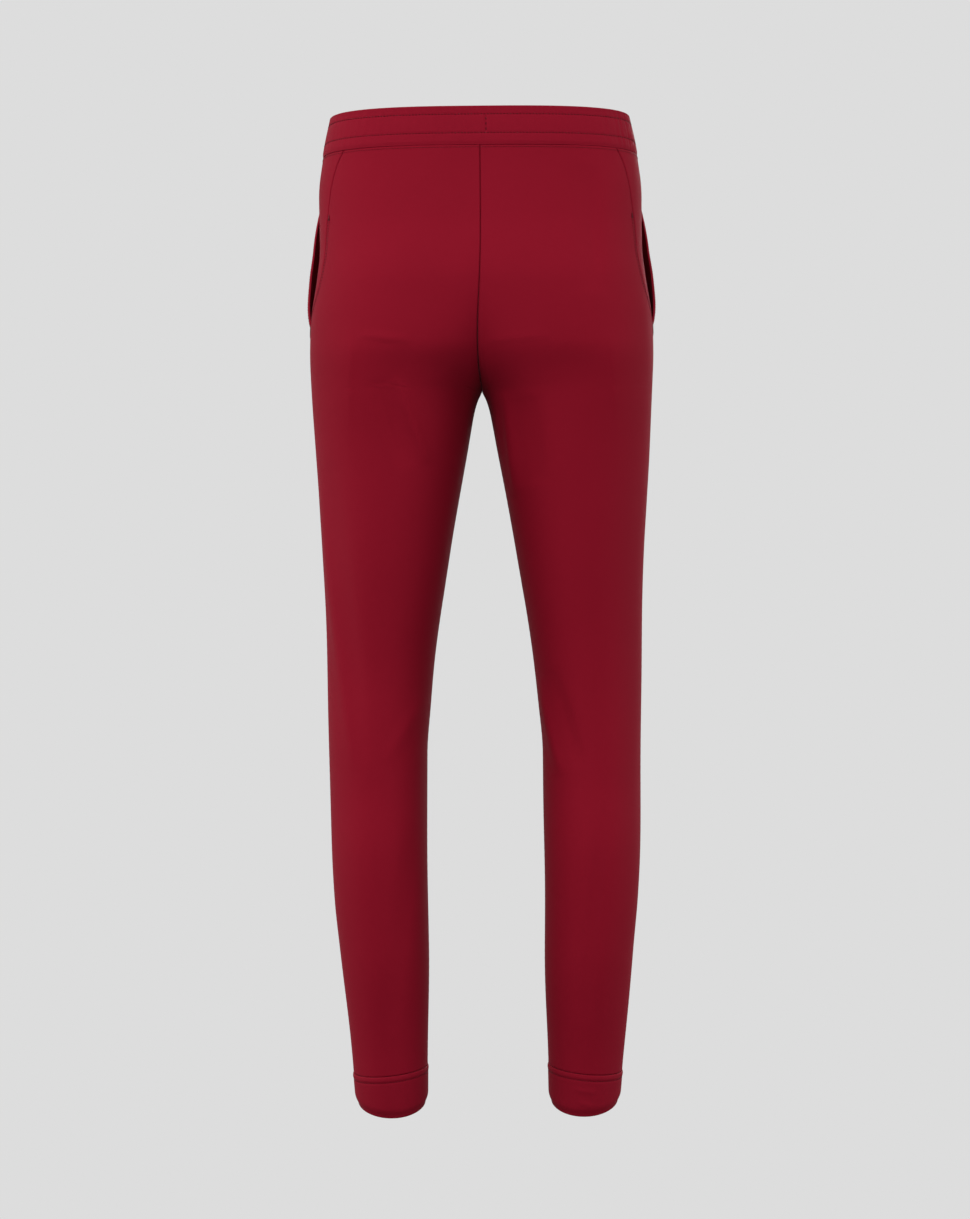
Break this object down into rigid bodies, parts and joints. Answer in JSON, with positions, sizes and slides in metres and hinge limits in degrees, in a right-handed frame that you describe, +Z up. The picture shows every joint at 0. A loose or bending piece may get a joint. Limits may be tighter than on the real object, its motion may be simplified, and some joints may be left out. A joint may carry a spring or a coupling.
{
  "type": "hockey training pants",
  "caption": "Slim stretch-jersey training pants with elastic waistband, slanted side pockets, tapered legs and plain cuffs.",
  "frame": {"origin": "middle of the waist opening, level with the rim at the wearer's sides", "axes": "+Z up, +Y towards the wearer's front, +X towards the wearer's right"},
  "size_m": [0.349, 0.2315, 0.9998],
  "materials": {
    "jersey": "smooth matt stretch jersey, deep red",
    "waistband": "the same jersey, doubled over elastic and stitched through",
    "cuff": "the same jersey, a doubled band",
    "pocketing": "thin dark red warp knit",
    "thread": "dense polyester stitching",
    "elastic": "woven elastic, hidden in the waistband"
  },
  "bodies": {
    "seat": {"waistband_casing": "waistband", "waistband_elastic": "elastic", "left_eyelet": "thread", "right_eyelet": "thread", "left_back_seat_panel": "jersey", "right_back_seat_panel": "jersey", "left_front_seat_panel": "jersey", "right_front_seat_panel": "jersey", "left_hip_yoke": "jersey", "right_hip_yoke": "jersey", "left_pocket_bag": "pocketing", "right_pocket_bag": "pocketing", "left_upper_bar_tack": "thread", "right_upper_bar_tack": "thread", "left_lower_bar_tack": "thread", "right_lower_bar_tack": "thread"},
    "left_thigh": {"left_back_thigh_panel": "jersey", "left_front_thigh_panel": "jersey"},
    "left_shin": {"left_back_shin_panel": "jersey", "left_front_shin_panel": "jersey", "left_cuff": "cuff"},
    "right_thigh": {"right_back_thigh_panel": "jersey", "right_front_thigh_panel": "jersey"},
    "right_shin": {"right_back_shin_panel": "jersey", "right_front_shin_panel": "jersey", "right_cuff": "cuff"}
  },
  "joints": [
    {"name": "left_hip_fold", "type": "hinge", "parent": "seat", "child": "left_thigh", "pos_m": [-0.09244, -0.0007, -0.356], "axis": [1, 0, 0], "range_deg": [-15, 40]},
    {"name": "left_knee_fold", "type": "hinge", "parent": "left_thigh", "child": "left_shin", "pos_m": [-0.10509, 0.0042, -0.582], "axis": [-1, 0, 0], "range_deg": [0, 70]},
    {"name": "right_hip_fold", "type": "hinge", "parent": "seat", "child": "right_thigh", "pos_m": [0.09244, -0.0007, -0.356], "axis": [1, 0, 0], "range_deg": [-15, 40]},
    {"name": "right_knee_fold", "type": "hinge", "parent": "right_thigh", "child": "right_shin", "pos_m": [0.10509, 0.0042, -0.582], "axis": [-1, 0, 0], "range_deg": [0, 70]}
  ]
}
